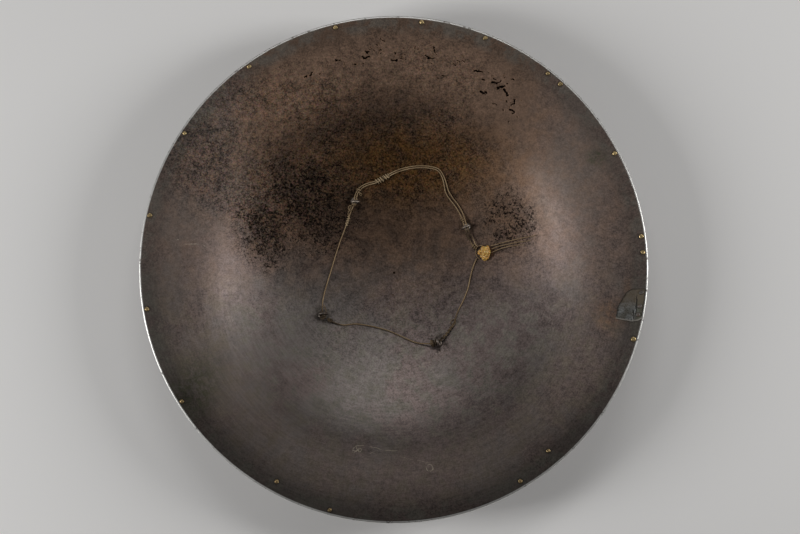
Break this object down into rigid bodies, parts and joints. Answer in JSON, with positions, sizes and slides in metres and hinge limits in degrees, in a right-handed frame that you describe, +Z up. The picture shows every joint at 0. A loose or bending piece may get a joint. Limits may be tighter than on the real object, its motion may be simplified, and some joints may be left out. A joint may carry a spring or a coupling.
{
  "type": "round dished steel shield",
  "caption": "Round steel buckler with a dished middle and flat flange, lying hollow side up, with iron grip eyes, rim rivets, an edge patch and a loop of old twine.",
  "frame": {"origin": "on the surface the shield lies on, under the middle of the rim", "axes": "+Z up out of the hollow side, along the axis of the dish; +Y towards the far edge with the repair plate on the +X side"},
  "size_m": [0.45, 0.45, 0.0612],
  "materials": {
    "plate_steel": "old dark steel, brown and grey patina, worn bright at the edge",
    "iron": "dark forged iron, dull",
    "rivet_brass": "dulled brass",
    "twine": "thin tan natural twine, waxed and dusty",
    "wax": "hardened yellow wax"
  },
  "bodies": {
    "root": {"shield_plate": "plate_steel", "edge_patch": "iron", "rim_rivet_01": "rivet_brass", "rim_rivet_02": "rivet_brass", "rim_rivet_03": "rivet_brass", "rim_rivet_04": "rivet_brass", "rim_rivet_05": "rivet_brass", "rim_rivet_06": "rivet_brass", "rim_rivet_07": "rivet_brass", "rim_rivet_08": "rivet_brass", "rim_rivet_09": "rivet_brass", "rim_rivet_10": "rivet_brass", "rim_rivet_11": "rivet_brass", "rim_rivet_12": "rivet_brass", "rim_rivet_13": "rivet_brass", "rim_rivet_14": "rivet_brass", "rim_rivet_15": "rivet_brass", "rim_rivet_16": "rivet_brass", "rim_rivet_17": "rivet_brass", "rim_rivet_18": "rivet_brass", "patch_rivet_01": "iron", "patch_rivet_02": "iron", "patch_rivet_03": "iron", "grip_eye_1": "iron", "grip_eye_2": "iron", "grip_eye_3": "iron", "grip_eye_4": "iron", "front_boss_1": "iron", "front_boss_2": "iron", "front_boss_3": "iron", "front_boss_4": "iron", "twine_upper": "twine", "twine_second": "twine", "twine_lower": "twine", "twine_tail_1": "twine", "twine_tail_2": "twine", "twine_tail_3": "twine", "wax_seal": "wax"}
  },
  "joints": []
}
